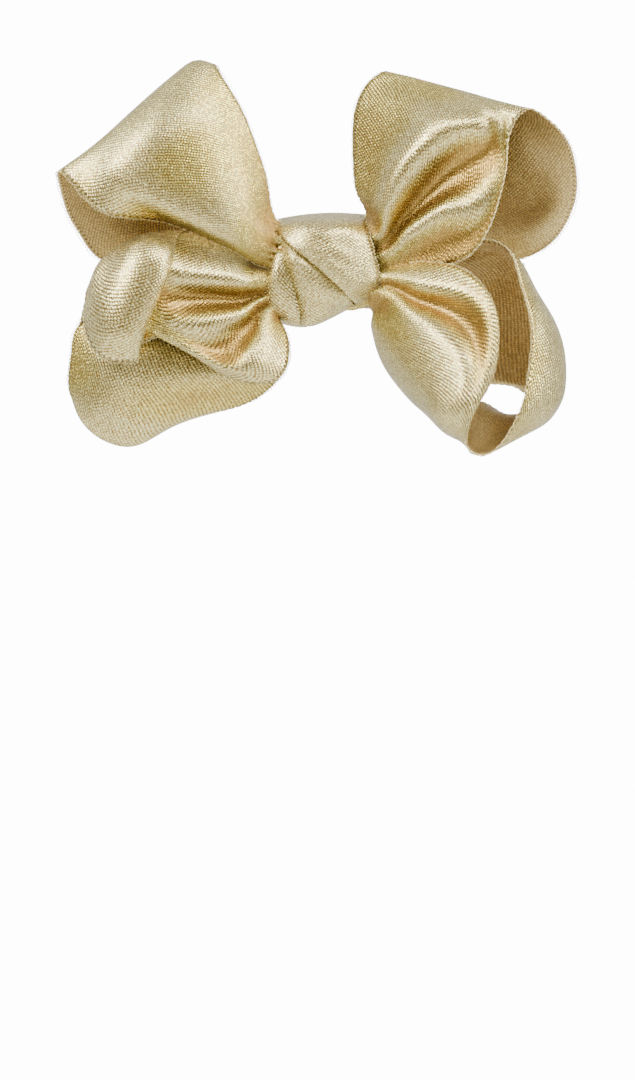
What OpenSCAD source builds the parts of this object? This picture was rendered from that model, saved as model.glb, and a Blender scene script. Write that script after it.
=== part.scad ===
// Pre-made gift bow: four ribbon loops gathered at a waist, a knot of narrower
// ribbon tied over the waist, and a flat twist tie behind it.
// +X is the bow's right, +Z is up and the front faces -Y. The origin is the
// middle of the flat back of the knot, and the whole bow lies at y <= 0.

/* [Ribbon] */
// Thickness of the ribbon along the loops
ribbon_t = 0.7; // [0.5:0.1:0.8]
// Thickness of a loop's gathered end under the knot
gather_t = 1.9; // [1.6:0.1:2.0]

/* [Knot] */
// Width of the knot along the bow
knot_w = 21; // [19:0.5:21]
// Height of the knot
knot_h = 22.4; // [22.4:0.1:23]
// Depth of the knot from its flat back to its front
knot_d = 17; // [17:0.1:18]
// Thickness of the ribbon wrapped round the waist
wrap_t = 0.6; // [0.4:0.05:0.6]

/* [Gathering thread] */
// Number of turns of thread round the waist
thread_turns = 4; // [2:1:5]
// Thickness of the thread
thread_d = 0.5; // [0.3:0.05:0.6]

/* [Twist tie] */
// Height of the flat strip of the tie
tie_w = 4; // [3:0.5:5]
// Thickness of the flat strip
tie_t = 0.3; // [0.2:0.05:0.4]
// Outer diameter of the rib that covers the wire
rib_d = 0.8; // [0.7:0.05:0.8]
// Diameter of the steel wire
wire_d = 0.4; // [0.3:0.05:0.4]
// Length of each free leg
leg_len = 28; // [15:1:30]

/* [Hidden] */

gold = "#c8b888";
steps_along = 4;      // steps between two stations of a loop
steps_across = 8;     // steps across a loop's width
gather_steps = 6;     // steps over which a gathered end thins out

tie_y = -1.2;         // middle of the twist tie, just inside the back wrap
bridge_half = 11.8;   // half the length of the tie's middle part
hinge_x = 12.6;       // where each leg bends
leg_start = 12.8;     // where each leg begins
wire_clear = 0.02;    // clearance between the wire and its rib
wire_inset = 0.5;     // how far the wire stops short of the strip's end

waist_front = -14;    // the gathered ends fill this box under the thread
waist_back = -3;
waist_low = -8.3;
waist_high = 9.2;
waist_r = 1.2;        // corner radius of the thread's turns
thread_gap = 0.6;     // distance between two turns
knot_front_r = 6;     // corner radius at the knot's front
knot_back_r = 2.5;    // corner radius at the knot's back
glue_r = 3.2;
glue_front = -2.35;
glue_back = -1.7;

// Each loop is a row of stations from its front end to its back end. A station
// holds a point on one selvage, one on the middle of the ribbon and one on the
// other selvage.
top_left = [
  [[3, -12.5, 8.3], [3, -12.5, 4.4], [3, -12.5, 0.5]],
  [[-11.4, -12.5, 8.3], [-11.4, -12.8, 4.5], [-11.4, -12.5, 0.5]],
  [[-12.5, -12, 20], [-19, -19, 12.5], [-20, -14.5, 4.5]],
  [[-15.5, -13, 31], [-28, -19.5, 21.5], [-33, -16, 10]],
  [[-20, -12, 38], [-34.5, -18.5, 28], [-44, -18.5, 12]],
  [[-25.2, -8, 42.6], [-38.7, -13, 31.2], [-51.6, -15, 19.8]],
  [[-24, -4.5, 38.5], [-38, -8, 27], [-52.2, -11, 16]],
  [[-19, -3.5, 30], [-33, -5.5, 18.5], [-49, -8.5, 9]],
  [[-15, -3, 21], [-27, -4.5, 11], [-40, -7.5, 2]],
  [[-12, -4.5, 10], [-12.5, -4.5, 4.5], [-13.5, -4.5, 0.6]],
  [[3, -4.4, 8.3], [3, -4.4, 4.4], [3, -4.4, 0.5]]
];
bottom_left = [
  [[3, -12.5, -0.2], [3, -12.5, -3.8], [3, -12.5, -7.5]],
  [[-11.4, -12.5, -0.2], [-11.4, -12.8, -3.8], [-11.4, -12.5, -7.5]],
  [[-15.5, -11, 2], [-18.5, -18, -3.5], [-16, -15.5, -14.5]],
  [[-18, -9.5, 3.5], [-27, -19, -3], [-22.5, -17, -18]],
  [[-22, -9, 5.5], [-31, -20, -2.5], [-34, -18.5, -17]],
  [[-26, -9, 7], [-38, -24, -3.5], [-42.5, -20.5, -17.2]],
  [[-29, -10, 6.5], [-40.5, -20.5, 3], [-47, -17, -7]],
  [[-29, -8.5, 2], [-40, -11, 1], [-48, -13, -8]],
  [[-22, -7.5, -7], [-36, -7, -8], [-50, -9.5, -15]],
  [[-19.5, -7, -18], [-35, -6, -22], [-50.5, -9, -22]],
  [[-21, -10, -28], [-38, -12, -34.8], [-50.4, -12.5, -26]],
  [[-13.5, -13, -26], [-35, -15.5, -26], [-50, -13.5, -17]],
  [[-7.6, -12.5, -20], [-25, -12.5, -18.5], [-43, -11.5, -9]],
  [[-9.6, -10, -14], [-16, -9, -9.5], [-24, -7.8, -3.5]],
  [[-12.4, -6, -8], [-12.4, -5.8, -3.8], [-12.6, -5.6, -0.6]],
  [[3, -4.4, -7.5], [3, -4.4, -3.8], [3, -4.4, -0.2]]
];
top_right = [
  [[-3, -10, 8.3], [-3, -10, 4.4], [-3, -10, 0.5]],
  [[11.4, -10, 8.3], [11.4, -10.3, 4.5], [11.4, -10, 0.5]],
  [[8, -8, 20], [17, -16, 13.5], [22, -17, 4]],
  [[6.8, -6, 29], [20, -18, 24], [31.5, -25, 8]],
  [[8, -5.5, 35], [22, -18, 30], [36.4, -28, 19]],
  [[12.6, -5, 40.2], [25.6, -16, 36], [38, -28, 31.2]],
  [[14.5, -2.5, 37], [29, -11, 33.6], [43.6, -23, 30]],
  [[17, -2.5, 29], [31, -8, 25.5], [50, -19.5, 23]],
  [[15, -3, 19.5], [29.5, -6, 15], [50, -14, 12.5]],
  [[13, -4, 12], [22, -6, 7], [41, -9, 3.2]],
  [[11.8, -6.5, 8.3], [12.4, -6.8, 4.4], [13, -7, 0.7]],
  [[-3, -7.2, 8.3], [-3, -7.2, 4.4], [-3, -7.2, 0.5]]
];
bottom_right = [
  [[-3, -10, -0.2], [-3, -10, -3.8], [-3, -10, -7.5]],
  [[11.4, -11, -0.2], [11.4, -11.3, -3.8], [11.4, -11, -7.5]],
  [[24, -20, 0.6], [18.5, -21, -9], [11, -10, -13]],
  [[33, -26, -5], [22, -26, -17], [12.5, -11, -19]],
  [[34.6, -29, -17], [24.5, -30, -25], [17.5, -13, -26]],
  [[32.5, -30, -27], [26, -30, -31.6], [23, -14, -30.5]],
  [[30.5, -28.5, -36.8], [31, -22.5, -36.2], [34, -9.5, -28.5]],
  [[35.5, -28, -34.6], [42, -19, -30.6], [41, -6, -26]],
  [[40, -27, -26], [47.4, -15, -24], [40, -4, -23.5]],
  [[41.4, -25, -14], [47.8, -13.5, -15], [38, -3.5, -19]],
  [[40.4, -22, -5], [44.2, -12, -7], [32, -3.5, -12]],
  [[36, -17.5, 5], [36, -11.5, -0.5], [23, -4, -7.5]],
  [[24, -12.5, 3.5], [22, -9.5, -1], [16, -5.5, -6.5]],
  [[13, -7.8, -0.3], [12.4, -7.2, -3.8], [12, -6.8, -7.5]],
  [[-3, -7.2, -0.2], [-3, -7.2, -3.8], [-3, -7.2, -7.5]]
];

// Points of a curve through four points, between the middle two
function through(a, b, c, d, u) =
  0.5 * (2 * b + (c - a) * u + (2 * a - 5 * b + 4 * c - d) * u * u
  + (3 * b - a - 3 * c + d) * u * u * u);
// A smooth curve through all of the points, n steps between each pair
function smooth(p, n) = let (last = len(p) - 1)
  [for (i = [0 : last * n]) let (k = min(floor(i / n), last - 1), u = i / n - k)
    through(p[max(k - 1, 0)], p[k], p[k + 1], p[min(k + 2, last)], u)];
// The arc across the ribbon through its two selvages and its middle
function across(a, m, b, v) = a * (1 - v) * (1 - 2 * v) + 4 * m * v * (1 - v) + b * v * (2 * v - 1);
function unit(v) = v / norm(v);

// The ribbon's middle surface as rows of points
function surface_rows(stations) =
  let (a = smooth([for (s = stations) s[0]], steps_along),
    m = smooth([for (s = stations) s[1]], steps_along),
    b = smooth([for (s = stations) s[2]], steps_along))
  [for (i = [0 : len(a) - 1])
    [for (j = [0 : steps_across]) across(a[i], m[i], b[i], j / steps_across)]];

// Direction out of the ribbon's face at one point of the surface
function face_normal(g, i, j) =
  let (rows = len(g) - 1)
  unit(cross(g[min(i + 1, rows)][j] - g[max(i - 1, 0)][j],
    g[i][min(j + 1, steps_across)] - g[i][max(j - 1, 0)]));

// Half the thickness at a row: the gathered ends are thicker
function half_t(i, rows) =
  let (near_end = max(0, 1 - min(i, rows - i) / gather_steps))
  (ribbon_t + (gather_t - ribbon_t) * min(1, 2 * near_end)) / 2;

// One face of the band: the surface moved out by half its thickness
function band_side(g, side) =
  [for (i = [0 : len(g) - 1], j = [0 : steps_across])
    g[i][j] + side * half_t(i, len(g) - 1) * face_normal(g, i, j)];

// A ribbon band as one closed solid
module band(stations) {
  g = surface_rows(stations);
  rows = len(g) - 1;
  w = steps_across + 1;
  back = (rows + 1) * w;
  points = concat(band_side(g, 1), band_side(g, -1));
  cells = [for (i = [0 : rows - 1], j = [0 : steps_across - 1]) i * w + j];
  front_faces = [for (c = cells, f = [[c, c + 1, c + w + 1], [c, c + w + 1, c + w]]) f];
  back_faces = [for (c = cells, f = [[c, c + w + 1, c + 1], [c, c + w, c + w + 1]])
    [for (p = f) p + back]];
  long_edges = [for (i = [0 : rows - 1], f = [
    [i * w, (i + 1) * w, (i + 1) * w + back],
    [i * w, (i + 1) * w + back, i * w + back],
    [i * w + w - 1, (i + 1) * w + w - 1 + back, (i + 1) * w + w - 1],
    [i * w + w - 1, i * w + w - 1 + back, (i + 1) * w + w - 1 + back]]) f];
  end = rows * w;
  short_edges = [for (j = [0 : steps_across - 1], f = [
    [j, j + back, j + 1 + back],
    [j, j + 1 + back, j + 1],
    [end + j, end + j + 1 + back, end + j + back],
    [end + j, end + j + 1, end + j + 1 + back]]) f];
  polyhedron(points, concat(front_faces, back_faces, long_edges, short_edges), 8);
}

// A rectangle in Y and Z with its own corner radius at the front and the back
function corner(cy, cz, r, from) =
  [for (k = [0 : 8]) [cy + r * cos(from + k * 11.25), cz + r * sin(from + k * 11.25)]];
function rounded(y0, y1, z0, z1, front_r, back_r) = concat(
  corner(y1 - back_r, z1 - back_r, back_r, 0),
  corner(y0 + front_r, z1 - front_r, front_r, 90),
  corner(y0 + front_r, z0 + front_r, front_r, 180),
  corner(y1 - back_r, z0 + back_r, back_r, 270));

// Extrudes a Y-Z outline along X, centred on x
module along_x(x, length) {
  translate([x - length / 2, 0, 0]) rotate([90, 0, 90]) linear_extrude(length) children();
}

module top_left_loop() { color(gold) band(top_left); }
module bottom_left_loop() { color(gold) band(bottom_left); }
module top_right_loop() { color(gold) band(top_right); }
module bottom_right_loop() { color(gold) band(bottom_right); }

// The knot's ribbon, closed round the waist with a flat back
module knot_ribbon() {
  color("#c4b27c") along_x(0, knot_w) difference() {
    polygon(rounded(-knot_d, 0, -knot_h / 2, knot_h / 2, knot_front_r, knot_back_r));
    polygon(rounded(wrap_t - knot_d, -wrap_t, wrap_t - knot_h / 2, knot_h / 2 - wrap_t,
      knot_front_r - wrap_t, knot_back_r - wrap_t));
  }
}

// Turns of thread side by side round the gathered ends
module gathering_thread() {
  pitch = thread_d + thread_gap;
  color("#b8a067") for (k = [0 : thread_turns - 1])
    along_x((k - (thread_turns - 1) / 2) * pitch, thread_d) difference() {
      polygon(rounded(waist_front - thread_d, waist_back + thread_d, waist_low - thread_d,
        waist_high + thread_d, waist_r + thread_d, waist_r + thread_d));
      polygon(rounded(waist_front, waist_back, waist_low, waist_high, waist_r, waist_r));
    }
}

// Flattened drop of glue between the thread and the tie
module glue_dab() {
  color("#e9e6dc") translate([0, glue_back, 0]) rotate([90, 0, 0])
    cylinder(r = glue_r, h = glue_back - glue_front, $fn = 48);
}

// A stretch of the tie from x0 to x1: a flat strip with a rib along its middle
module tie_strip(x0, x1) {
  color("#d9c88f") translate([x0, tie_y, 0]) difference() {
    union() {
      translate([0, -tie_t / 2, -tie_w / 2]) cube([x1 - x0, tie_t, tie_w]);
      rotate([0, 90, 0]) cylinder(d = rib_d, h = x1 - x0, $fn = 32);
    }
    translate([wire_inset, 0, 0]) rotate([0, 90, 0])
      cylinder(d = wire_d + 2 * wire_clear, h = x1 - x0 - 2 * wire_inset, $fn = 32);
  }
}

// The wire inside that stretch
module tie_wire(x0, x1) {
  color("#b4b6b8") translate([x0 + wire_inset + wire_clear, tie_y, 0]) rotate([0, 90, 0])
    cylinder(d = wire_d, h = x1 - x0 - 2 * (wire_inset + wire_clear), $fn = 32);
}

module tie_bridge() { tie_strip(-bridge_half, bridge_half); }
module tie_bridge_wire() { tie_wire(-bridge_half, bridge_half); }
module left_tie_leg() { tie_strip(-leg_start - leg_len, -leg_start); }
module left_tie_wire() { tie_wire(-leg_start - leg_len, -leg_start); }
module right_tie_leg() { tie_strip(leg_start, leg_start + leg_len); }
module right_tie_wire() { tie_wire(leg_start, leg_start + leg_len); }

top_left_loop();
bottom_left_loop();
top_right_loop();
bottom_right_loop();
knot_ribbon();
gathering_thread();
glue_dab();
tie_bridge();
tie_bridge_wire();
left_tie_leg();
left_tie_wire();
right_tie_leg();
right_tie_wire();
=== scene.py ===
import math
import bpy
import numpy as np
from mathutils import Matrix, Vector


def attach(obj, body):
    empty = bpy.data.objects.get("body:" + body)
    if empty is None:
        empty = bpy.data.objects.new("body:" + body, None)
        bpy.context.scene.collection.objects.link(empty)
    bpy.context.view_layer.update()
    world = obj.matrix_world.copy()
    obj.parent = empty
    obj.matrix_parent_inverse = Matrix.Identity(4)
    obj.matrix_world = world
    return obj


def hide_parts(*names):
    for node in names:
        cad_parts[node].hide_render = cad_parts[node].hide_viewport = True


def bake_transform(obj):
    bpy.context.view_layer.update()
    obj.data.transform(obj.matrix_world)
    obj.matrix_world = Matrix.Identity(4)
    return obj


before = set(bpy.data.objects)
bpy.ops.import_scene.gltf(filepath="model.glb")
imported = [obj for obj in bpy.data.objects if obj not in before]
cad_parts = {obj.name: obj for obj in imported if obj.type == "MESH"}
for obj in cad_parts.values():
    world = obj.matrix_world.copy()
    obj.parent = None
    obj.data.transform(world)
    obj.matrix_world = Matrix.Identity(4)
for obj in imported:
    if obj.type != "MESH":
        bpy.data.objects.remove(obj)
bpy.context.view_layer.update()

MM = 0.001
BODY = "bow"

# The ribbons, in millimetres.
RIBBON_W = 38.0  # width of the loops' ribbon
RIBBON_T = 0.26  # its thickness
KNOT_T = 0.3  # thickness of the knot's ribbon
KNOT_REACH = 10.0  # how much of each loop's end the knot hides
PICOT = 0.72  # from one little loop of selvage thread to the next
CELL = 1.3  # the side of a grid cell while the cloth settles
FINER = 2  # how many times finer the finished grid is

# The weave.
TWILL = 0.56  # mm, from one diagonal of the weave to the next
STITCH = 0.62  # mm, from one stitch to the next
SLANT = 0.9  # how far a diagonal runs across the ribbon for each step along it
SLANT_STEP = 1.345  # the length of a step of SLANT one way and 1 the other
HOLE_ROW = 0.55  # mm, from the selvage to its row of small holes
HOLE_PITCH = 1.25 * PICOT  # from one hole to the next
WEAVE_DEPTH = 0.6  # strength of the stitches' relief
GLITTER = 0.8  # strength of the random tilt of each stitch
GAPS = 0.85  # how dark the ground shows between the stitches
GAP_TONE = 0.5  # brightness of the ground against the cloth's deep colour
PAINTED_FOLD_SHADING = 0.7  # how much browner the colour is painted in the folds' valleys and paler on their ridges: painted shade and painted highlight
HIGHLIGHT_RIDGE = (0.74, 1.0)  # from where on a ridge the cloth is painted with a white highlight
PAINTED_SHEEN = 0.45  # and how white that painted highlight gets
# The colour of the painted highlight on the ridges.
PAINTED_HIGHLIGHT_GOLD = (0.98, 0.94, 0.64, 1)
HOLE_COLOUR = (0.12, 0.08, 0.03, 1)

# The light. The four lamps are in watts.
ROOM_COLOUR = (1.0, 0.75, 0.34, 1)  # of the room that the folds facing the viewer mirror
TENT_COLOUR = (1, 0.99, 0.97, 1)  # of the light tent everywhere else
TENT_FRONT = 0.24  # the tent's strength towards the viewer
TENT_BACK = 1.05  # and behind the bow
BACKDROP = 14.0  # strength of the white that the camera sees behind the bow
KEY = 10.0
LOW = 28.0
SIDE = 9.0
LEFT = 13.0


# ---------------------------------------------------------------- camera, light
def make_camera():
    """A long lens straight in front; the bow lies in the upper half of the view."""
    view_height, view_x, view_z, lens = 0.216, -0.0009, -0.054, 200.0
    bow_front = 0.014  # the depth of the bow at which the view is view_height high
    data = bpy.data.cameras.new("camera")
    data.sensor_fit = "VERTICAL"
    data.sensor_height = 36.0
    data.lens = lens
    distance = view_height * lens / data.sensor_height
    ob = bpy.data.objects.new("camera", data)
    ob.location = (view_x, -distance - bow_front, view_z)
    ob.rotation_euler = (math.radians(90), 0, 0)
    bpy.context.scene.collection.objects.link(ob)
    bpy.context.scene.camera = ob


def area_light(name, place, size, power):
    """A white rectangular lamp that points at the bow."""
    data = bpy.data.lights.new(name, "AREA")
    data.shape = "RECTANGLE"
    data.size, data.size_y = size
    data.energy = power
    ob = bpy.data.objects.new(name, data)
    ob.location = place
    ob.rotation_euler = (-Vector(place)).to_track_quat("-Z", "Y").to_euler()
    bpy.context.scene.collection.objects.link(ob)


def make_world():
    """A light tent: bright behind the bow and round its sides, dimmer towards the viewer."""
    world = bpy.data.worlds.new("studio")
    bpy.context.scene.world = world
    world.use_nodes = True
    world.node_tree.nodes.clear()
    n = Nodes(world.node_tree)
    split = n.new("SeparateXYZ")
    n.link(n.new("TexCoord").outputs["Generated"], split.inputs[0])
    backwards = split.outputs["Y"]
    tent = n.new("Background")
    n.link(n.mix(n.ramp(backwards, -0.95, -0.2), ROOM_COLOUR, TENT_COLOUR), tent.inputs["Color"])
    n.link(n.ramp(backwards, -1.0, 0.35, TENT_FRONT, TENT_BACK), tent.inputs["Strength"])
    white = n.new("Background")
    n.link((1, 1, 1, 1), white.inputs["Color"])
    n.link(BACKDROP, white.inputs["Strength"])
    either = n.new("MixShader")
    n.link(n.new("LightPath").outputs["Is Camera Ray"], either.inputs[0])
    n.link(tent.outputs[0], either.inputs[1])
    n.link(white.outputs[0], either.inputs[2])
    n.link(either.outputs[0], n.new("OutputWorld").inputs["Surface"])


# ---------------------------------------------------------------- cloth
def catmull(points, steps):
    """A smooth curve through the points of axis 0, with steps pieces in each gap."""
    p = np.asarray(points, float)
    padded = np.concatenate([2 * p[:1] - p[1:2], p, 2 * p[-1:] - p[-2:-1]])
    rows = []
    for k in range(len(p) - 1):
        a, b, c, d = padded[k : k + 4]
        for i in range(steps):
            u = i / steps
            rows.append(
                0.5 * (2 * b + (c - a) * u + (2 * a - 5 * b + 4 * c - d) * u**2
                       + (3 * b - a - 3 * c + d) * u**3)
            )
    rows.append(p[-1])
    return np.array(rows)


def even(points, count):
    """The curve along axis 0 sampled again at count places an equal distance apart."""
    steps = np.linalg.norm(np.diff(points, axis=0), axis=-1)
    if steps.ndim > 1:
        steps = steps.mean(axis=1)
    at = np.concatenate([[0], np.cumsum(steps)])
    want = np.linspace(0, at[-1], count)
    flat = points.reshape(len(points), -1)
    out = np.stack([np.interp(want, at, flat[:, k]) for k in range(flat.shape[1])], 1)
    return out.reshape((count,) + points.shape[1:]), at[-1]


def even_cells(points, cell):
    """The curve sampled again at steps of about cell, and its length."""
    return even(points, max(8, round(even(points, 8)[1] / cell)) + 1)


def across_count(row, count, steps=24):
    """A station as count points across, its drawn points still evenly shared out."""
    curve = catmull(row, steps)
    at = np.linspace(0, len(curve) - 1, count)
    return np.stack([np.interp(at, np.arange(len(curve)), curve[:, k]) for k in range(3)], 1)


def ribbon_grid(stations, width):
    """A grid of points over the ribbon that the stations describe, and its length."""
    fine_across, fine_along = 49, 16
    count = max(6, round(width / CELL)) + 1
    dense = catmull([across_count(row, fine_across) for row in stations], fine_along)
    rows, length = even_cells(dense, CELL)
    return np.stack([even(row, count)[0] for row in rows]), length


def unit(vectors):
    """Each vector at length 1; the last axis holds its parts."""
    return vectors / np.maximum(np.linalg.norm(vectors, axis=-1, keepdims=True), 1e-9)


def face_normals(g):
    """Which way the grid faces at each of its points."""
    return unit(np.cross(np.gradient(g, axis=0), np.gradient(g, axis=1)))


def smoothstep(x):
    """An easy climb from 0 to 1 as x goes from 0 to 1."""
    x = np.clip(x, 0, 1)
    return x * x * (3 - 2 * x)


def widths(g):
    """The ribbon's width at each row, measured over the cloth."""
    return np.linalg.norm(np.diff(g, axis=1), axis=-1).sum(1)


def settle(grid, length, passes=16):
    """Takes the small wrinkles out of the drawn cloth without shrinking its folds."""
    tied, ease = 7.0, 8.0  # mm of each end that stays put, and over which the rest loosens
    smooth, swell = 0.5, -0.51  # every second pass undoes the shrinking of the one before
    along, across = 0.28, 0.18  # how strongly each point goes to the middle of its neighbours
    g = grid.copy()
    s = np.linspace(0, length, len(g))
    free = smoothstep((np.minimum(s, length - s) - tied) / ease)[:, None, None]
    for k in range(2 * passes):
        share = smooth if k % 2 == 0 else swell
        move = np.zeros_like(g)
        move[1:-1] += along * (g[2:] + g[:-2] - 2 * g[1:-1])
        move[:, 1:-1] += across * (g[:, 2:] + g[:, :-2] - 2 * g[:, 1:-1])
        g = g + free * share * move
    return g


def hollows(grid, reach=9, passes=2, deepest=2.0):
    """Where the cloth folds: 1 on a ridge of its right side, 0 in a valley, 0.5 where flat.

    Each point is held against the mean of reach points each way, and deepest is in mm."""
    wide = grid
    kernel = np.ones(2 * reach + 1) / (2 * reach + 1)
    for _ in range(passes):
        for axis in (0, 1):
            pad = [(0, 0)] * 3
            pad[axis] = (reach, reach)
            wide = np.apply_along_axis(lambda c: np.convolve(c, kernel, "valid"), axis,
                                       np.pad(wide, pad, mode="reflect", reflect_type="odd"))
    depth = ((wide - grid) * face_normals(grid)).sum(-1)
    return np.clip(0.5 + depth / deepest, 0, 1)


def gathered(grid, width, length, folds, front_reach, back_reach, seed):
    """Folds the cloth like a fan where it is tied, as deep as its lost width asks for."""
    fullness = 1.4  # how much deeper the folds are than a plain wave of the cloth's width
    uneven = 0.05  # how far the folds wander across the ribbon
    rows, cols = grid.shape[:2]
    rng = np.random.default_rng(seed)
    s = np.linspace(0, length, rows)
    v = np.linspace(0, 1, cols)
    flat_edges = np.sin(math.pi * np.clip(v, 0, 1)) ** 0.3
    now = widths(grid)
    depth = fullness * (now / folds) / math.pi * np.sqrt(np.maximum(width / now - 1, 0))
    normal = face_normals(grid)
    out = grid.copy()
    for end, reach in ((s, front_reach), (length - s, back_reach)):
        phase, drift = rng.uniform(0, 2 * math.pi, 2)
        past = np.maximum(end - KNOT_REACH, 0)
        fade = np.exp(-((past / reach) ** 2))
        place = v + uneven * np.sin(2 * math.pi * v * 1.5 + drift)
        wave = np.sin(2 * math.pi * folds * place + phase) * flat_edges
        out += normal * ((depth * fade)[:, None] * wave[None, :])[..., None]
    return out


def cloth_object(name, grid, length, width, thickness, materials):
    """The grid as a mesh of quads, in metres, with a map in real lengths for the weave."""
    rows, cols = grid.shape[:2]
    mesh = bpy.data.meshes.new(name)
    i, j = np.meshgrid(np.arange(rows - 1), np.arange(cols - 1), indexing="ij")
    a = (i * cols + j).ravel()
    faces = np.stack([a, a + 1, a + cols + 1, a + cols], 1)
    mesh.from_pydata((grid.reshape(-1, 3) * MM).tolist(), [], faces.tolist())
    layer = mesh.uv_layers.new(name="weave")
    u = np.repeat(np.linspace(0, length, rows)[:, None], cols, 1)
    v = np.repeat(np.linspace(0, width, cols)[None, :], rows, 0)
    uv = np.stack([u, v], -1).reshape(-1, 2)
    loops = np.empty(len(mesh.loops), int)
    mesh.loops.foreach_get("vertex_index", loops)
    layer.data.foreach_set("uv", uv[loops].ravel())
    mesh.polygons.foreach_set("use_smooth", [True] * len(mesh.polygons))
    # fold is the mask for the materials' painted shade in valleys and painted highlight on ridges; edge is
    # the distance from the nearer selvage.
    for word, value in (("fold", hollows(grid)), ("edge", np.minimum(v, width - v))):
        layer = mesh.attributes.new(word, "FLOAT", "POINT")
        layer.data.foreach_set("value", value.ravel().astype(np.float32))
    for each in materials:
        mesh.materials.append(each)
    ob = bpy.data.objects.new(name, mesh)
    bpy.context.scene.collection.objects.link(ob)
    solid = ob.modifiers.new("thickness", "SOLIDIFY")
    solid.thickness = thickness * MM
    solid.offset = 0
    solid.material_offset = len(materials) - 1
    return ob


def strips_object(name, strips, thickness, materials):
    """Several grids of cloth as one piece, each with a map in its own real lengths."""
    obs = []
    for k, grid in enumerate(strips):
        length = np.linalg.norm(np.diff(grid, axis=0), axis=-1).sum(0).mean()
        across = widths(grid).mean()
        obs.append(cloth_object(f"{name}_{k}", grid, length, across, thickness, materials))
    return joined(name, obs)


def tube(name, path, radius, material, sides=8):
    """A round tube along a path of points in millimetres, closed at both ends."""
    path = np.asarray(path, float)
    ahead = np.gradient(path, axis=0)
    ahead /= np.linalg.norm(ahead, axis=1, keepdims=True)
    side = np.empty_like(path)
    first = np.cross(ahead[0], (0, 0, 1) if abs(ahead[0][2]) < 0.9 else (0, 1, 0))
    for k, t in enumerate(ahead):
        first = first - t * (first @ t)
        first = first / np.linalg.norm(first)
        side[k] = first
    other = np.cross(ahead, side)
    angle = np.arange(sides) * 2 * math.pi / sides
    cosine, sine = np.cos(angle)[None, :, None], np.sin(angle)[None, :, None]
    ring = side[:, None] * cosine + other[:, None] * sine
    points = (path[:, None] + ring * radius).reshape(-1, 3) * MM
    return tube_mesh(name, points, len(path), sides, material)


def tube_mesh(name, points, rings, sides, material):
    """A closed skin over rings of points in metres, with sides points in each ring."""
    i, j = np.meshgrid(np.arange(rings - 1), np.arange(sides), indexing="ij")
    a, b = (i * sides + j).ravel(), (i * sides + (j + 1) % sides).ravel()
    faces = np.stack([a, b, b + sides, a + sides], 1).tolist()
    faces.append(list(range(sides))[::-1])
    faces.append(list(range((rings - 1) * sides, rings * sides)))
    mesh = bpy.data.meshes.new(name)
    mesh.from_pydata(points.tolist(), [], faces)
    mesh.polygons.foreach_set("use_smooth", [True] * len(mesh.polygons))
    mesh.materials.append(material)
    ob = bpy.data.objects.new(name, mesh)
    bpy.context.scene.collection.objects.link(ob)
    return ob


def joined(name, obs):
    """The objects as one object."""
    with bpy.context.temp_override(active_object=obs[0], selected_editable_objects=obs):
        bpy.ops.object.join()
    obs[0].name = name
    return obs[0]


def picots(name, edges, material, height=0.5, radius=0.12):
    """The selvage thread: a row of little loops that stand out from each edge given.

    An edge is (points along it, the points one column in from it)."""
    steps = 6  # points along the thread for each of its loops
    sunk, sway = 0.04, 0.09  # mm that the thread lies in the edge, and weaves to each side
    meshes = []
    for k, (edge, inside) in enumerate(edges):
        edge_length = np.linalg.norm(np.diff(edge, axis=0), axis=1).sum()
        count = max(8, int(edge_length / PICOT * steps))
        run = even(np.stack([edge, inside], 1), count)[0]
        at = run[:, 0]
        outward = unit(run[:, 0] - run[:, 1])
        up = unit(np.cross(np.gradient(at, axis=0), outward))
        phase = np.arange(count) * math.pi / steps
        lift = np.abs(np.sin(phase)) * (1 + 0.25 * np.sin(phase * 0.37 + k))
        core = at + outward * (height * lift - sunk)[:, None] + up * (sway * np.cos(phase))[:, None]
        ring = np.stack([outward, up, -outward, -up], 1) * radius
        points = (core[:, None] + ring).reshape(-1, 3) * MM
        meshes.append(tube_mesh(f"{name}_{k}", points, count, 4, material))
    return joined(name, meshes)


# ---------------------------------------------------------------- materials
class Nodes:
    """Short ways to add shader nodes to a tree. A value is a number, a colour or a socket."""

    def __init__(self, tree):
        self.nt = tree

    def new(self, kind):
        return self.nt.nodes.new("ShaderNode" + kind)

    def link(self, value, socket):
        if isinstance(value, (int, float, tuple)):
            socket.default_value = value
        else:
            self.nt.links.new(value, socket)

    def math(self, operation, a, b=0.0):
        node = self.new("Math")
        node.operation = operation
        self.link(a, node.inputs[0])
        self.link(b, node.inputs[1])
        return node.outputs[0]

    def noise(self, vector, scale, detail=3.0):
        node = self.new("TexNoise")
        self.link(vector, node.inputs["Vector"])
        node.inputs["Scale"].default_value = scale
        node.inputs["Detail"].default_value = detail
        return node.outputs["Fac"]

    def mix(self, share, a, b):
        node = self.new("MixRGB")
        self.link(share, node.inputs[0])
        self.link(a, node.inputs[1])
        self.link(b, node.inputs[2])
        return node.outputs[0]

    def ramp(self, value, low, high, to_low=0.0, to_high=1.0):
        node = self.new("MapRange")
        self.link(value, node.inputs["Value"])
        node.inputs["From Min"].default_value = low
        node.inputs["From Max"].default_value = high
        node.inputs["To Min"].default_value = to_low
        node.inputs["To Max"].default_value = to_high
        return node.outputs["Result"]

    def bump(self, height, strength, distance, before=None):
        node = self.new("Bump")
        self.link(height, node.inputs["Height"])
        node.inputs["Strength"].default_value = strength
        node.inputs["Distance"].default_value = distance
        if before is not None:
            self.link(before, node.inputs["Normal"])
        return node.outputs[0]

    def place(self):
        """Where the point lies, in metres."""
        return self.new("TexCoord").outputs["Object"]

    def attribute(self, name):
        node = self.new("Attribute")
        node.attribute_name = name
        return node.outputs["Fac"]


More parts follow.
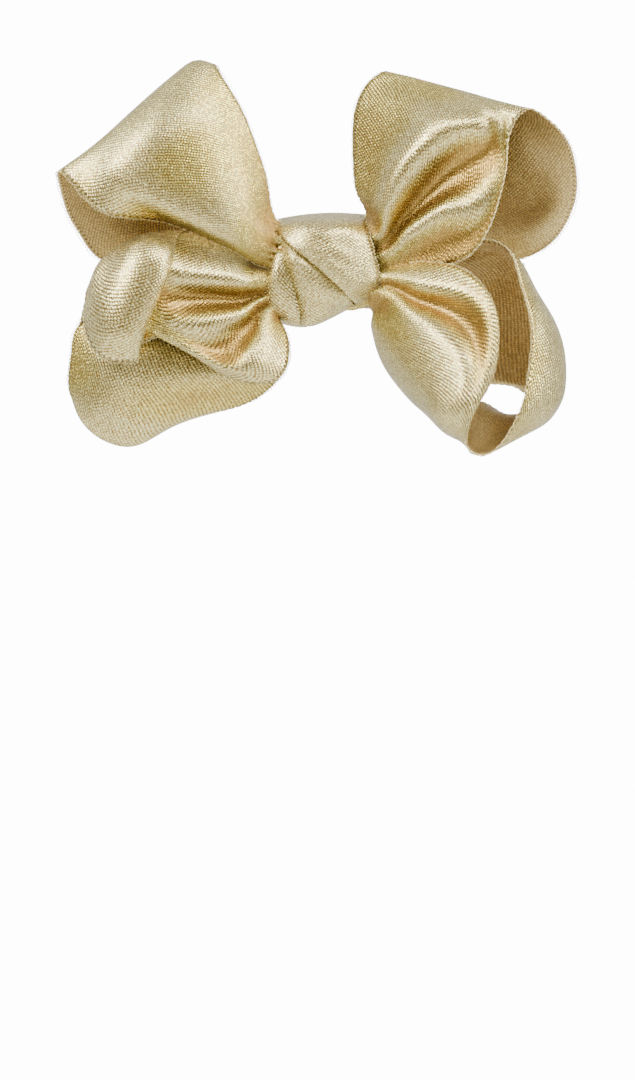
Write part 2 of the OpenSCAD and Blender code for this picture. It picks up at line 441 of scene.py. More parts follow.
class Material(Nodes):
    """The nodes of a new material round its Principled BSDF."""

    def __init__(self, name):
        self.mat = bpy.data.materials.new(name)
        self.mat.use_nodes = True
        super().__init__(self.mat.node_tree)
        self.shader = self.nt.nodes["Principled BSDF"]

    def set(self, **values):
        for key, value in values.items():
            self.link(value, self.shader.inputs[key.replace("_", " ")])
        return self.mat


def toned(colour, share):
    """The colour with its light multiplied by share."""
    return tuple(share * c for c in colour[:3]) + (1,)


def half(n, value):
    """A value from -1 to 1 as one from 0 to 1."""
    return n.math("ADD", n.math("MULTIPLY", value, 0.5), 0.5)


def weave_place(n, uv, u, v):
    """The diagonal row of the weave that a point lies in, and its stitch in that row."""
    wobble = n.math("MULTIPLY", n.noise(uv, 0.35, 2.0), 0.5)
    fleck = n.math("MULTIPLY", n.noise(uv, 2.2, 2.0), 0.5)
    slanted = n.math("ADD", n.math("MULTIPLY", u, SLANT), v)
    row = n.math("ADD", slanted, n.math("ADD", wobble, fleck))
    row = n.math("DIVIDE", row, SLANT_STEP * TWILL)
    start = n.new("TexWhiteNoise")
    start.noise_dimensions = "1D"
    n.link(n.math("FLOOR", row), start.inputs["W"])
    stitch = n.math("SUBTRACT", u, n.math("MULTIPLY", v, SLANT))
    stitch = n.math("DIVIDE", stitch, SLANT_STEP * STITCH)
    return row, n.math("ADD", stitch, start.outputs["Value"])


def stitch_height(n, row, stitch):
    """How far the thread stands out: 0 between two rows, 1 on the top of a stitch."""
    across = half(n, n.math("SINE", n.math("MULTIPLY", row, 2 * math.pi)))
    along = half(n, n.math("SINE", n.math("MULTIPLY", stitch, 2 * math.pi)))
    return n.math("MULTIPLY", across, n.math("ADD", n.math("MULTIPLY", along, 0.75), 0.25))


def stitch_luck(n, row, stitch):
    """A random value from 0 to 1 for each quarter of a stitch."""
    cell = n.new("CombineXYZ")
    n.link(n.math("FLOOR", n.math("MULTIPLY", row, 2.0)), cell.inputs[0])
    n.link(n.math("FLOOR", n.math("MULTIPLY", stitch, 2.0)), cell.inputs[1])
    chance = n.new("TexWhiteNoise")
    n.link(cell.outputs[0], chance.inputs["Vector"])
    return chance.outputs["Value"]


def thread_colour(n, uv, fold, luck, pale, deep, folds):
    """From deep to pale: by painted shade in the folds' valleys and painted highlight on their ridges, by
    chance, and slowly along the ribbon.
    """
    # Painted shade and highlight: the colour goes deep in a fold's valley and pale on its ridge.
    share = n.ramp(fold, 0.2, 0.8, 0.55 - folds, 0.55 + folds)
    share = n.math("ADD", share, n.ramp(luck, 0.0, 1.0, -0.2, 0.2))
    share = n.math("ADD", share, n.ramp(n.noise(uv, 0.09), 0.35, 0.65, -0.1, 0.1))
    return n.mix(n.ramp(share, 0.0, 1.0), deep, pale)


def selvage_holes(n, u):
    """Above 0 in the small holes beside each selvage, and 0 elsewhere."""
    off_row = n.math("ABSOLUTE", n.math("SUBTRACT", n.attribute("edge"), HOLE_ROW))
    along = n.math("SINE", n.math("MULTIPLY", u, 2 * math.pi / HOLE_PITCH))
    return n.math("MULTIPLY", n.ramp(off_row, 0.14, 0.34, 0.8, 0.0), n.ramp(along, 0.0, 0.5))


def gold_cloth(name, pale, deep, metal, rough, folds):
    """Gold lamé satin: slanting rows of bright metallic stitches over a browner ground.

    The colour is painted deep in a valley as painted shade and pale on a ridge as painted highlight, as
    far apart as folds says, and the ridges get a white painted highlight. Below 0 the painted shading is
    the other way round, as on the ribbon's wrong side, and there is no white painted highlight."""
    n = Material(name)
    uv = n.new("UVMap")
    uv.uv_map = "weave"
    split = n.new("SeparateXYZ")
    n.link(uv.outputs[0], split.inputs[0])
    u, v = split.outputs["X"], split.outputs["Y"]
    row, stitch = weave_place(n, uv.outputs[0], u, v)
    height = stitch_height(n, row, stitch)
    luck = stitch_luck(n, row, stitch)
    fold = n.attribute("fold")
    thread = thread_colour(n, uv.outputs[0], fold, luck, pale, deep, folds)
    # Painted highlight: the ridges are painted towards white gold, and their stitch gaps show less there.
    ridge = n.ramp(fold, *HIGHLIGHT_RIDGE, 0.0, PAINTED_SHEEN if folds > 0 else 0.0)
    thread = n.mix(ridge, thread, PAINTED_HIGHLIGHT_GOLD)
    gaps = n.math("SUBTRACT", GAPS, n.math("MULTIPLY", ridge, 0.4 * GAPS))
    cover = n.math("MULTIPLY", n.ramp(height, 0.05, 0.7, -1.0, 0.0), gaps)
    cover = n.math("ADD", cover, n.ramp(luck, 0.0, 1.0, 0.6, 1.08))
    colour = n.mix(n.ramp(cover, 0.0, 1.0), toned(deep, GAP_TONE), thread)
    colour = n.mix(selvage_holes(n, u), colour, HOLE_COLOUR)
    normal = n.bump(height, WEAVE_DEPTH, 0.00009)
    normal = n.bump(luck, GLITTER, 0.00006, normal)
    tangent = n.new("Tangent")
    tangent.direction_type = "UV_MAP"
    tangent.uv_map = "weave"
    return n.set(Base_Color=colour, Metallic=metal, Normal=normal,
                 Roughness=n.math("ADD", n.math("MULTIPLY", luck, -0.12), rough + 0.06),
                 Anisotropic=0.45, Tangent=tangent.outputs[0],
                 Coat_Weight=0.12, Coat_Roughness=0.25)


def thread_metal(name, colour, metal, rough, grain):
    """Thread or metal yarn, its fibres a fine grain in the tone and the relief."""
    n = Material(name)
    place = n.place()
    fibres = n.noise(place, grain, 4.0)
    tone = n.mix(n.ramp(fibres, 0.3, 0.7), toned(colour, 0.72), colour)
    return n.set(Base_Color=tone, Metallic=metal, Roughness=rough,
                 Normal=n.bump(fibres, 0.4, 0.00008))


def clear_glue(name):
    """Hot-melt glue: milky, cloudy and half clear."""
    n = Material(name)
    place = n.place()
    cloud = n.noise(place, 420.0, 4.0)
    tone = n.mix(n.ramp(cloud, 0.35, 0.7), (0.62, 0.58, 0.47, 1), (0.86, 0.84, 0.76, 1))
    return n.set(Base_Color=tone, Roughness=n.ramp(cloud, 0.3, 0.7, 0.16, 0.34),
                 Transmission_Weight=0.35, IOR=1.49, Normal=n.bump(cloud, 0.25, 0.0002))


def tie_film(name):
    """The twist tie's plastic skin: gold, glossy, and finely drawn along its length."""
    n = Material(name)
    place = n.place()
    stretch = n.new("VectorMath")
    stretch.operation = "MULTIPLY"
    n.link(place, stretch.inputs[0])
    stretch.inputs[1].default_value = (0.12, 1.0, 1.0)
    lines = n.noise(stretch.outputs[0], 2600.0, 3.0)
    scuffs = n.noise(place, 260.0, 4.0)
    tone = n.mix(n.ramp(lines, 0.35, 0.65), (0.5, 0.37, 0.13, 1), (0.74, 0.58, 0.24, 1))
    return n.set(Base_Color=tone, Metallic=0.75, Coat_Weight=0.4, Coat_Roughness=0.15,
                 Roughness=n.ramp(scuffs, 0.35, 0.65, 0.22, 0.4),
                 Normal=n.bump(lines, 0.2, 0.00006))


def bare_wire(name):
    """Bright drawn steel."""
    n = Material(name)
    place = n.place()
    drawn = n.noise(place, 1800.0, 3.0)
    tone = n.mix(n.ramp(drawn, 0.35, 0.7), (0.42, 0.42, 0.43, 1), (0.66, 0.66, 0.67, 1))
    return n.set(Base_Color=tone, Metallic=1.0, Roughness=n.ramp(drawn, 0.3, 0.7, 0.24, 0.42),
                 Normal=n.bump(drawn, 0.2, 0.00004))


def floor_paper(name):
    """White matt paper with a faint grain."""
    n = Material(name)
    place = n.place()
    grain = n.noise(place, 60.0, 5.0)
    tone = n.mix(n.ramp(grain, 0.35, 0.65), (0.8, 0.8, 0.79, 1), (0.84, 0.84, 0.83, 1))
    return n.set(Base_Color=tone, Roughness=0.85, Normal=n.bump(grain, 0.05, 0.0004))


# ---------------------------------------------------------------- the loops
UPPER = (8.3, 6.4, 4.4, 2.4, 0.5)  # heights across a tied end of an upper loop
LOWER = (-0.2, -2, -3.8, -5.6, -7.5)  # and of a lower loop


def tied(x, y, heights):
    """A station inside the knot, straight across the waist."""
    return [(x, y, z) for z in heights]


# Each loop is a row of stations from its front end to its back end. A station runs
# across the ribbon from one selvage to the other, in millimetres.
TOP_LEFT = [
    tied(3, -12.5, UPPER),
    [(-8.5, -12, 9.5), (-9.5, -14, 7.3), (-10, -14.5, 5), (-10.5, -14, 2.8), (-10.5, -12, 0.6)],
    [(-11.5, -12, 20), (-15.5, -17, 17), (-19, -19.5, 12.5), (-21, -19, 7.5), (-19, -15, 4.5)],
    [(-15.5, -13, 31), (-21.5, -17.5, 27.5), (-28, -20, 21.5), (-33, -20, 13.5), (-31, -15, 9.5)],
    [(-19.5, -12, 38), (-27, -16.5, 33.5), (-34.5, -19, 28), (-41.5, -19.5, 20), (-43.8, -18, 11.6)],
    [(-21.8, -8.8, 41.6), (-25.4, -8.6, 42.6), (-30.4, -10.2, 38.9), (-37.6, -12.6, 32.4),
     (-44.9, -14.2, 25.6), (-52, -15.5, 19.8)],
    [(-22.4, -5, 39), (-31, -6, 33), (-38, -8, 27), (-45, -9, 20.5), (-52.4, -11, 16)],
    [(-19, -3.5, 30), (-26, -4.5, 24.5), (-33, -5.5, 18.5), (-40.5, -7, 13), (-49.4, -8.5, 8.5)],
    [(-15, -3, 21), (-20.5, -3.5, 16), (-27, -4.5, 10.5), (-33.5, -6, 5.5), (-41, -7.5, 1)],
    [(-11, -4.1, 10), (-11.8, -4.1, 7), (-12.3, -4.1, 4.5), (-12.8, -4.1, 2.4), (-13.5, -4.1, 0.4)],
    tied(3, -3.9, UPPER),
]
BOTTOM_LEFT = [
    tied(3, -12.5, LOWER),
    [(-11.4, -11.5, 0.3), (-11.4, -13.2, -1.2), (-11.4, -13.6, -2.8), (-11.3, -12, -4.6),
     (-11, -13.4, -5.8), (-10.4, -12.2, -6.8), (-9.4, -13, -7.8), (-8.2, -11.6, -8.8)],
    [(-15, -10.5, 2.6), (-16.4, -14, 0.8), (-17, -16.4, -2.3), (-16.5, -12.6, -5.8),
     (-15.8, -16, -8.6), (-14.2, -13, -10.8), (-11.5, -15.8, -12.8), (-6.9, -12, -13)],
    [(-19, -10, 5), (-21.5, -14, 3), (-23, -18, -1.8), (-22.8, -14.2, -5.6),
     (-21.2, -18, -10.2), (-17.2, -14.6, -13.5), (-13.8, -18.2, -17.2), (-7, -14, -19)],
    [(-23.5, -9.5, 7), (-26.5, -13.5, 5), (-28.2, -18.8, -1.2), (-28, -15.4, -5.4),
     (-26.4, -18.4, -11), (-21, -16, -16.2), (-16.5, -18.6, -20), (-10.5, -15.5, -22.6)],
    [(-26, -9.2, 8), (-29.2, -13.8, 6.6), (-30.6, -18.8, 0), (-32, -16.6, -5),
     (-31.5, -17.5, -10), (-27, -17.5, -14.5), (-23.5, -17.6, -18.3), (-19, -16.6, -21.4)],
    [(-26.4, -9.1, 8.1), (-29.4, -13.8, 6.7), (-30.8, -18.7, -0.2), (-32.8, -16.8, -5.5),
     (-33, -17.2, -10.6), (-30.2, -17.3, -13.6), (-27.8, -17.2, -15.6), (-25, -17, -17.6)],
    [(-26.8, -9, 8.2), (-29.6, -13.8, 6.8), (-31.2, -18.2, -0.5), (-34.6, -16.8, -6),
     (-35.6, -16.4, -11), (-34.2, -16.6, -13), (-32.6, -16.7, -13.8), (-31.2, -16.8, -13.4)],
    [(-26, -8.8, 8.2), (-29.4, -13.2, 6.8), (-32, -17.6, -0.5), (-36.6, -16.6, -8.5),
     (-38.4, -16.4, -15.8)],
    [(-25, -8.6, 8.4), (-28.9, -13.4, 7), (-30, -19.6, 0), (-34.2, -19.4, -9.5),
     (-36.4, -18.8, -17.5)],
    [(-25, -8.5, 8), (-28.6, -12.8, 7.6), (-30.4, -20.6, 3.2), (-33, -22.6, -3.4),
     (-35.4, -23, -9.2), (-37.4, -22.4, -14.6), (-38.6, -19.6, -18.6)],
    [(-25.6, -8.5, 7.4), (-30.4, -13, 7.8), (-33.8, -20.8, 4.6), (-36.8, -23, -0.6),
     (-39.6, -23.6, -6.6), (-42.2, -22.6, -12.6), (-44.2, -19, -17.4)],
    [(-26, -8.5, 6), (-32.6, -13, 7.6), (-37, -18.8, 5.8), (-40.4, -20.6, 1.4),
     (-43.2, -20.8, -3.4), (-45.6, -19.6, -7.8), (-47.4, -16.8, -11.2)],
    [(-27, -8, 4), (-34.5, -10.5, 6.5), (-40, -14.5, 5.2), (-44.5, -16.5, 1.6), (-46.8, -15.5, -3.5)],
    [(-25, -7.5, 0), (-32, -8, 2), (-38, -9, 1), (-43.5, -11, -3), (-48, -12, -9)],
    [(-19.5, -7, -9), (-27, -6.8, -8), (-35, -6.8, -9), (-43, -8, -11), (-50, -9.5, -16)],
    [(-18.5, -6.8, -18), (-26.5, -6.3, -19), (-34.5, -6, -21), (-42.5, -7, -22.5), (-50.8, -9.5, -22)],
    [(-20.5, -7.5, -26.5), (-29, -6.5, -29.5), (-37.5, -6.5, -32.5), (-45, -7, -30.5), (-50.2, -8.5, -25)],
    [(-20, -9.5, -28), (-29.4, -9.5, -30.6), (-37.8, -9.5, -35), (-44.4, -9.5, -33.6),
     (-48.8, -9.5, -29.4), (-50.8, -9.5, -23.6)],
    [(-13, -11.5, -25.5), (-26, -12.6, -25.5), (-37, -13, -27), (-44.5, -12.6, -24.5),
     (-50.4, -10.5, -17.5)],
    [(-7.8, -13.2, -20.5), (-18.5, -14.6, -20), (-29.5, -15, -18.5), (-39.5, -14.4, -15.5),
     (-48.5, -11, -10.5)],
    [(-7, -10.8, -14), (-13.5, -11.6, -12), (-21, -12, -9.5), (-29.5, -11.6, -6), (-38, -10.4, -2)],
    [(-12.4, -6, -7.6), (-12.4, -6, -5.8), (-12.4, -5.8, -3.8), (-12.6, -5.6, -2), (-12.6, -5.6, -0.4)],
    tied(3, -3.9, LOWER[::-1]),
]
TOP_RIGHT = [
    tied(-3, -10, UPPER),
    [(8.6, -9.5, 10.3), (9.6, -12.4, 8.8), (10.6, -14.2, 6.6), (11.2, -12.4, 4.6), (11.6, -13.8, 3),
     (11.8, -12.8, 1), (12, -12.6, -1.2)],
    [(6.8, -8.8, 16.5), (10, -13, 14.8), (12.9, -17.8, 12.6), (15.6, -13.6, 9.4),
     (17.2, -16.8, 7.4), (17.6, -14.6, 3.4), (17.4, -14.4, -0.8)],
    [(6.2, -7.5, 24), (11.2, -13, 22.3), (16.4, -20, 20), (20.4, -14.8, 14.4),
     (23.6, -19, 11.6), (24, -16.6, 6), (23.4, -16.4, 0.6)],
    [(6.4, -6, 31), (13.5, -12.5, 29.5), (22.2, -21, 26), (26.2, -16.4, 19.8),
     (29.6, -21.4, 13), (30.4, -20, 8.2), (29.6, -20.4, 3)],
    [(7.6, -5.6, 35.4), (15.4, -11.7, 34.2), (26.4, -21.6, 28.4), (30.6, -19, 22.8),
     (33.4, -22.2, 16.6), (34, -22, 12.6), (33.4, -22.4, 8.6)],
    [(9.8, -5.3, 38.6), (18.4, -10.8, 36.8), (31, -22.2, 29.4), (33.6, -20.4, 25.4),
     (35.4, -22.2, 20.6), (35.8, -22.6, 17.6), (35.4, -23, 14.6)],
    [(12.6, -5, 40.4), (20, -9.8, 38.2), (29.6, -17.4, 34), (34.6, -22.4, 30), (36.2, -21.6, 26.6),
     (36.6, -21.8, 24), (36.8, -22.6, 21.4)],
    [(13, -4.6, 40.2), (20.4, -9.2, 38.2), (29, -15.4, 35.2), (34.4, -20, 32.6), (36.4, -21.8, 30),
     (36.8, -22.4, 28.2), (37, -22.8, 26.6)],
    [(13.3, -4, 39.6), (20.8, -8.4, 37.9), (28.6, -13.2, 35.7), (34, -17.2, 33.8),
     (37.2, -20.2, 32.6), (38.8, -22, 31.8), (39.8, -22.8, 31.4)],
    [(14.5, -2.5, 37.5), (22, -6.5, 36), (30, -11, 34), (37.6, -16.4, 31.8), (44.4, -21.6, 30)],
    [(17, -2.5, 29), (24, -5, 27.5), (31.5, -8.5, 25.8), (36, -11.8, 25.2), (40, -14, 24.6),
     (45, -15.8, 24), (49.8, -18.6, 23.5)],
    [(15, -3, 19.5), (22, -4.5, 17.5), (29.5, -6.5, 15.5), (36, -7.6, 14.2), (42.4, -9.6, 13),
     (47.2, -12.6, 12.5), (50.2, -13, 12.2)],
    [(13, -4.2, 12), (17, -5.2, 9.5), (22, -6.2, 7.3), (30, -7.5, 5), (41, -9, 2.8)],
    [(11.8, -6.6, 8.3), (12.2, -6.7, 6.4), (12.6, -6.8, 4.4), (13, -6.9, 2.6), (13.4, -7, 0.7)],
    tied(-3, -7.2, UPPER),
]
BOTTOM_RIGHT = [
    tied(-3, -10, LOWER),
    [(11.7, -12, 0.6), (12.2, -14.6, -0.6), (12.4, -15.4, -1.8), (12, -14, -3),
     (11.6, -14.8, -4.4), (10.4, -13.4, -6), (9.2, -11, -7.2), (9.4, -8.4, -7.4)],
    [(19, -15.5, 1.4), (19.3, -18, -0.6), (19.6, -19.8, -3.4), (18.6, -17, -6), (17, -19.4, -8.2),
     (13.2, -15.6, -10.4), (9.9, -10.6, -11), (11.1, -5.4, -10.2)],
    [(27.5, -21, 0), (27.6, -22.6, -2.4), (27.6, -23.8, -5.4), (25.4, -20.6, -9), (22, -23.6, -12),
     (15.4, -18.6, -15.4), (11, -10.6, -15.6), (12.2, -5.4, -14.8)],
    [(33, -26, -5.4), (32.7, -26.8, -7.6), (32, -27, -9.8), (29.6, -25, -13.2), (26, -27.2, -16.6),
     (18, -21.6, -20.4), (13, -11, -20), (14.2, -5.8, -19.2)],
    [(34.9, -28.5, -12.9), (34.2, -29, -14.8), (33, -29.4, -17), (30.6, -28.8, -19.6),
     (27.4, -29.6, -22.2), (20.6, -24.4, -25), (16.4, -12.4, -24.6), (17.6, -7.2, -23.8)],
    [(33.6, -29.8, -22), (32.4, -30.4, -23.6), (31, -30.8, -25.2), (29, -30.6, -26.8),
     (26.6, -30, -28.4), (22.4, -25.6, -29.6), (19.8, -13.6, -28), (21, -8.4, -27.2)],
    [(29.6, -30, -29.4), (29.2, -30.4, -31), (28.6, -30, -32.2), (27.8, -28.6, -33),
     (26.8, -26.4, -33.6), (25.2, -20.6, -33.2), (24.6, -13.4, -30.6), (26, -8.2, -27.8)],
    [(28.4, -29.4, -35), (29, -28.6, -36.4), (29.8, -27, -37), (30.6, -24.4, -36.8),
     (31.4, -20.8, -35.6), (31.8, -16.4, -32.6), (31.8, -11, -28.6), (31.8, -6.2, -26.2)],
    [(31.6, -28.6, -37.3), (34, -26.6, -36.4), (36.4, -23, -35), (39, -18.6, -33.2),
     (40.4, -14, -31.4), (39.4, -10, -29.6), (38, -7.6, -28.8), (37.6, -5, -28.8)],
    [(35.6, -27.6, -34.8), (38.8, -24.4, -33), (42.2, -20, -31.8), (44.8, -15.4, -30.6),
     (45.4, -11.4, -29.2), (44.6, -8, -28.2), (43, -5.6, -27.6), (42.8, -3.6, -27.4)],
    [(39.6, -26.6, -27.4), (44, -22.4, -26.6), (47.3, -17.4, -26.4), (47.9, -12, -25.8),
     (45.6, -7.6, -24.8), (43.6, -4.6, -24.2), (41.4, -3, -23.6), (39.4, -1.5, -23.2)],
    [(41.4, -24.6, -18), (45.4, -20.6, -18.4), (48.4, -15.6, -18.8), (48.4, -10.4, -19.6),
     (45.4, -6, -20.4), (40.8, -3.4, -21.4), (36, -2.4, -22), (32.5, -1.4, -22.4)],
    [(41.6, -22.8, -11), (45.2, -19, -11.2), (47.3, -14, -12), (46.6, -9, -13.4),
     (42.4, -5.2, -15.8), (35.6, -3, -18.4), (28.5, -2.4, -19.6), (26.5, -1.6, -22.4)],
    [(39.8, -19.6, -3.4), (42.6, -16, -4.4), (43.8, -11.8, -6), (41.8, -7.8, -8),
     (36.4, -4.8, -10.6), (29, -3.2, -13.2), (21.5, -2.8, -14), (19.6, -2, -17.6)],
    [(36.6, -16, 4.6), (38.2, -13.4, 3), (37.4, -10.4, 0.8), (33.8, -7.6, -2), (28, -5.2, -5.2),
     (21.6, -4, -8.2), (16, -3.6, -10), (14, -3, -12.8)],
    [(27, -12.6, 5.6), (27, -11.2, 3.6), (25.6, -9.4, 1), (22.8, -7.8, -1.8), (19.4, -6.4, -4.6),
     (16.4, -5.4, -7), (13.6, -5.2, -8.6), (12.4, -4.6, -9.4)],
    [(13, -7.8, -0.3), (12.8, -7.6, -2), (12.4, -7.2, -3.8), (12.2, -7, -5.6), (12, -6.8, -7.4)],
    tied(-3, -7.2, LOWER),
]


def finer(grid):
    """The settled grid with FINER times as many cells each way, still smooth."""
    rows = catmull(grid, FINER)
    return np.swapaxes(catmull(np.swapaxes(rows, 0, 1), FINER), 0, 1)


def make_loop(name, stations, materials, folds, front_reach, back_reach, seed):
    """One loop's ribbon and its selvage thread, fanned into folds where it is tied."""
    grid, length = ribbon_grid(stations, RIBBON_W)
    grid = finer(settle(grid, length))
    grid = gathered(grid, RIBBON_W, length, folds, front_reach, back_reach, seed)
    if "left" in name:  # drawn the other way round; this turns its right side outwards
        grid = grid[:, ::-1]
    ob = cloth_object(name + "_ribbon", grid, length, RIBBON_W, RIBBON_T, materials)
    edge = picots(name + "_selvage", [(grid[:, 0], grid[:, 1]), (grid[:, -1], grid[:, -2])],
                  selvage_thread)
    for piece in (ob, edge):
        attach(piece, BODY)
    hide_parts(name)


# ---------------------------------------------------------------- the knot
# The knot's ribbon in three overlapping turns, and the flat part behind them.
KNOT_OVER = [
    [(-9, -0.6, 8), (-4.5, -0.6, 8), (0, -0.6, 8), (4.5, -0.6, 8), (9, -0.6, 8)],
    [(-8.5, -1.5, 10.5), (-4, -1.5, 10.9), (0, -1.5, 11.2), (4, -1.5, 11.3), (8.5, -1.5, 11.2)],
    [(-8.5, -7, 10.5), (-4, -7, 11.3), (0, -7, 11.6), (4, -7, 11.6), (8.4, -7, 11.2)],
    [(-8.9, -13, 8.5), (-5, -15.5, 9), (0, -16.5, 9), (5, -16, 8.6), (9.2, -13.6, 8)],
    [(-6.6, -17, 5.2), (-2.5, -18.3, 5), (2, -18.5, 4.6), (6, -17.2, 4.2), (10, -15.6, 4)],
    [(-3.1, -17.8, 2.4), (0.5, -18.6, 2), (4.5, -18, 1.2), (8, -17, 0.6), (11, -15.6, 0.2)],
    [(2.8, -17.5, -2.7), (5, -17.6, -2.6), (7.2, -17, -2.6), (9.4, -16, -2.8), (11.3, -14.6, -3)],
    [(6, -15, -5.9), (7.2, -15, -5.6), (8.4, -14.4, -5.4), (9.8, -13, -5.4), (11, -10.5, -5.6)],
    [(7, -10, -6.9), (8, -10, -6.7), (9, -10, -6.5), (9.6, -9.5, -6.4), (10.4, -8.5, -6.2)],
    [(6, -4, -7), (7, -4, -6.9), (8, -4, -6.7), (9, -3.8, -6.5), (9.8, -3.4, -6.2)],
]
KNOT_MIDDLE = [
    [(-8.9, -12, 7), (-8, -13.5, 6.5), (-7, -14.8, 5.8), (-6.2, -15.5, 5.2), (-5.5, -16, 4.5)],
    [(-7.4, -15.5, 2.6), (-6, -17, 2.6), (-4.5, -17.3, 2.2), (-3, -17, 1.8), (-1, -16.3, 1.2)],
    [(-6.2, -16, -0.1), (-4.4, -17.2, -0.4), (-2, -17.3, -0.8), (0.5, -16.8, -1.4), (3, -15.8, -2.4)],
    [(-5.2, -15.6, -3.3), (-3, -16.5, -3.8), (-0.3, -16.6, -4.2), (2.8, -16, -4.8), (5.4, -15, -5.6)],
    [(-4.4, -14.6, -5.8), (-2.4, -15.2, -6.4), (0.4, -15, -6.6), (3.6, -14.2, -6.6), (6.4, -12.8, -6.8)],
    [(-4, -11, -10.6), (-1.7, -11.5, -10.6), (1.6, -11, -9.2), (4.4, -10.5, -7.8), (7, -9, -6.6)],
    [(-5, -6, -10.4), (-2, -6, -10.4), (1.5, -6, -9.2), (4.5, -6, -7.8), (7, -5, -6.6)],
    [(-6, -3, -8.6), (-2.8, -3, -8.4), (0.5, -3, -7.8), (3.8, -3, -7), (7, -3, -6.2)],
]
KNOT_LOW = [
    [(-9.3, -10, 7), (-8.8, -12, 7), (-8, -13, 6.5), (-7, -14, 6), (-6, -14.5, 5.5)],
    [(-10.4, -10.5, 2.4), (-9.8, -13.5, 2.4), (-8.8, -14.8, 2.2), (-7.4, -15, 1.8), (-6, -15, 1.5)],
    [(-11.3, -10.5, -0.7), (-10.5, -14, -0.8), (-9, -15.4, -1), (-7.2, -15.2, -1.2), (-5.2, -14.8, -1.4)],
    [(-12.4, -9.5, -4.4), (-11, -13.2, -4.6), (-9, -14.6, -4.8), (-7, -14.6, -5), (-4.8, -14, -5)],
    [(-11.8, -7.5, -8), (-10, -11.4, -8.6), (-8, -12.6, -8.8), (-6, -12.8, -8.8), (-4, -12.4, -8.6)],
    [(-9.5, -5.5, -9.8), (-8, -8, -10.4), (-6.4, -9, -10.8), (-4.8, -9.4, -11), (-3.2, -9.4, -11)],
    [(-9, -2.5, -9.5), (-7.5, -2.8, -10.2), (-6, -3.2, -10.6), (-4.5, -3.6, -10.8), (-3, -4, -10.8)],
]
KNOT_BACK = [
    [(x, y, z + slope * x) for x in (-9.6, -5, 0, 5, 9.6)]
    for y, z, slope in ((-3.2, 10.7, 0.03), (-2.4, 9.8, 0.03), (-2.5, 6.6, 0.02), (-1.9, 4.3, 0.01),
                        (-0.5, 2.5, 0), (-0.3, 0, 0), (-0.5, -2.5, 0), (-1.9, -4.3, 0.04),
                        (-2.5, -6.2, 0.12), (-2.6, -7.8, 0.18), (-3.4, -8.7, 0.22))
]


def tucked(stations):
    """The strip with its first side turned under, so that it ends in a soft fold."""
    turned, rounded = 0.45, 0.04  # shares of the first gap across: tucked in, and standing out
    deep, lip_deep = np.array([0, 1.3, 0]), np.array([0, 0.5, 0])  # mm behind the front
    out = []
    for row in stations:
        edge, inside = np.array(row[0], float), np.array(row[1], float)
        under = edge + (inside - edge) * turned + deep
        lip = edge + (edge - inside) * rounded + lip_deep
        out.append([tuple(under), tuple(lip)] + list(row))
    return out


def strip_grid(stations, cell=0.8, count=27):
    """A grid of count points across over one strip of the knot's ribbon."""
    rows = even_cells(catmull(stations, 12), cell)[0]
    across = np.stack([catmull(row, 6) for row in rows])
    return np.stack([even(row, count)[0] for row in across])


def make_knot(materials):
    """The knot's strips as one wrap, with selvages where its edges show."""
    over, middle, low = (strip_grid(tucked(k))[:, ::-1] for k in (KNOT_OVER, KNOT_MIDDLE, KNOT_LOW))
    back = strip_grid(KNOT_BACK)
    ob = strips_object("knot_wrap", [over, middle, low, back], KNOT_T, materials)
    edges = [(over[:, 0], over[:, 1]), (back[:, 0], back[:, 1]), (back[:, -1], back[:, -2])]
    edge = picots("knot_selvage", edges, selvage_thread)
    for piece in (ob, edge):
        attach(piece, BODY)
    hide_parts("knot_ribbon")


# ---------------------------------------------------------------- behind the knot
def make_thread():
    """The gathering thread: turns round the waist, and two short ends."""
    front, back, top, bottom, cut = -13.9, -3.1, 9.1, -8.2, 0.9  # of the waist, and its corners
    corners = [(front, 0), (front, top - cut), (front + cut, top), (back - cut, top),
               (back, top - cut), (back, bottom + cut), (back - cut, bottom),
               (front + cut, bottom), (front, bottom + cut), (front, 0)]
    turn = even(np.array(corners, float), 60)[0][:-1]
    turns, spread, stray = 5, 4.8, 0.18
    path = [(-4.6, -13.4, 4.2), (-3.4, -13.8, 2)]
    for k in range(turns * len(turn)):
        y, z = turn[k % len(turn)]
        share = k / (turns * len(turn)) - 0.5
        path.append((spread * share + stray * math.sin(k * 0.21), y, z))
    path += [(3.6, -13.8, -1.6), (4.9, -13.3, -3.9)]
    thread = thread_metal("sewing_thread", (0.62, 0.5, 0.3, 1), 0.0, 0.6, 3200.0)
    ob = tube("gathering_thread_turns", catmull(path, 3), 0.25, thread)
    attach(ob, BODY)
    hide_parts("gathering_thread")


def make_glue():
    """A flattened bead of hot glue that holds the tie to the knot's back."""
    rings, sides = 14, 40
    radius, front, thick, squash = 3.25, -2.4, 0.72, 0.92
    points = []
    for k in range(rings):
        t = k / (rings - 1)
        r = radius * math.sin(math.pi * (0.04 + 0.92 * t)) ** 0.4
        for j in range(sides):
            a = 2 * math.pi * j / sides
            lump = 1 + 0.06 * math.sin(3 * a + 1) + 0.035 * math.sin(5 * a + 2.2 + t)
            x, z = r * lump * math.cos(a), r * lump * squash * math.sin(a)
            points.append((x * MM, (front + thick * t) * MM, z * MM))
    ob = tube_mesh("glue_bead", np.array(points), rings, sides, clear_glue("hot_glue"))
    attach(ob, BODY)
    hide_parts("glue_dab")


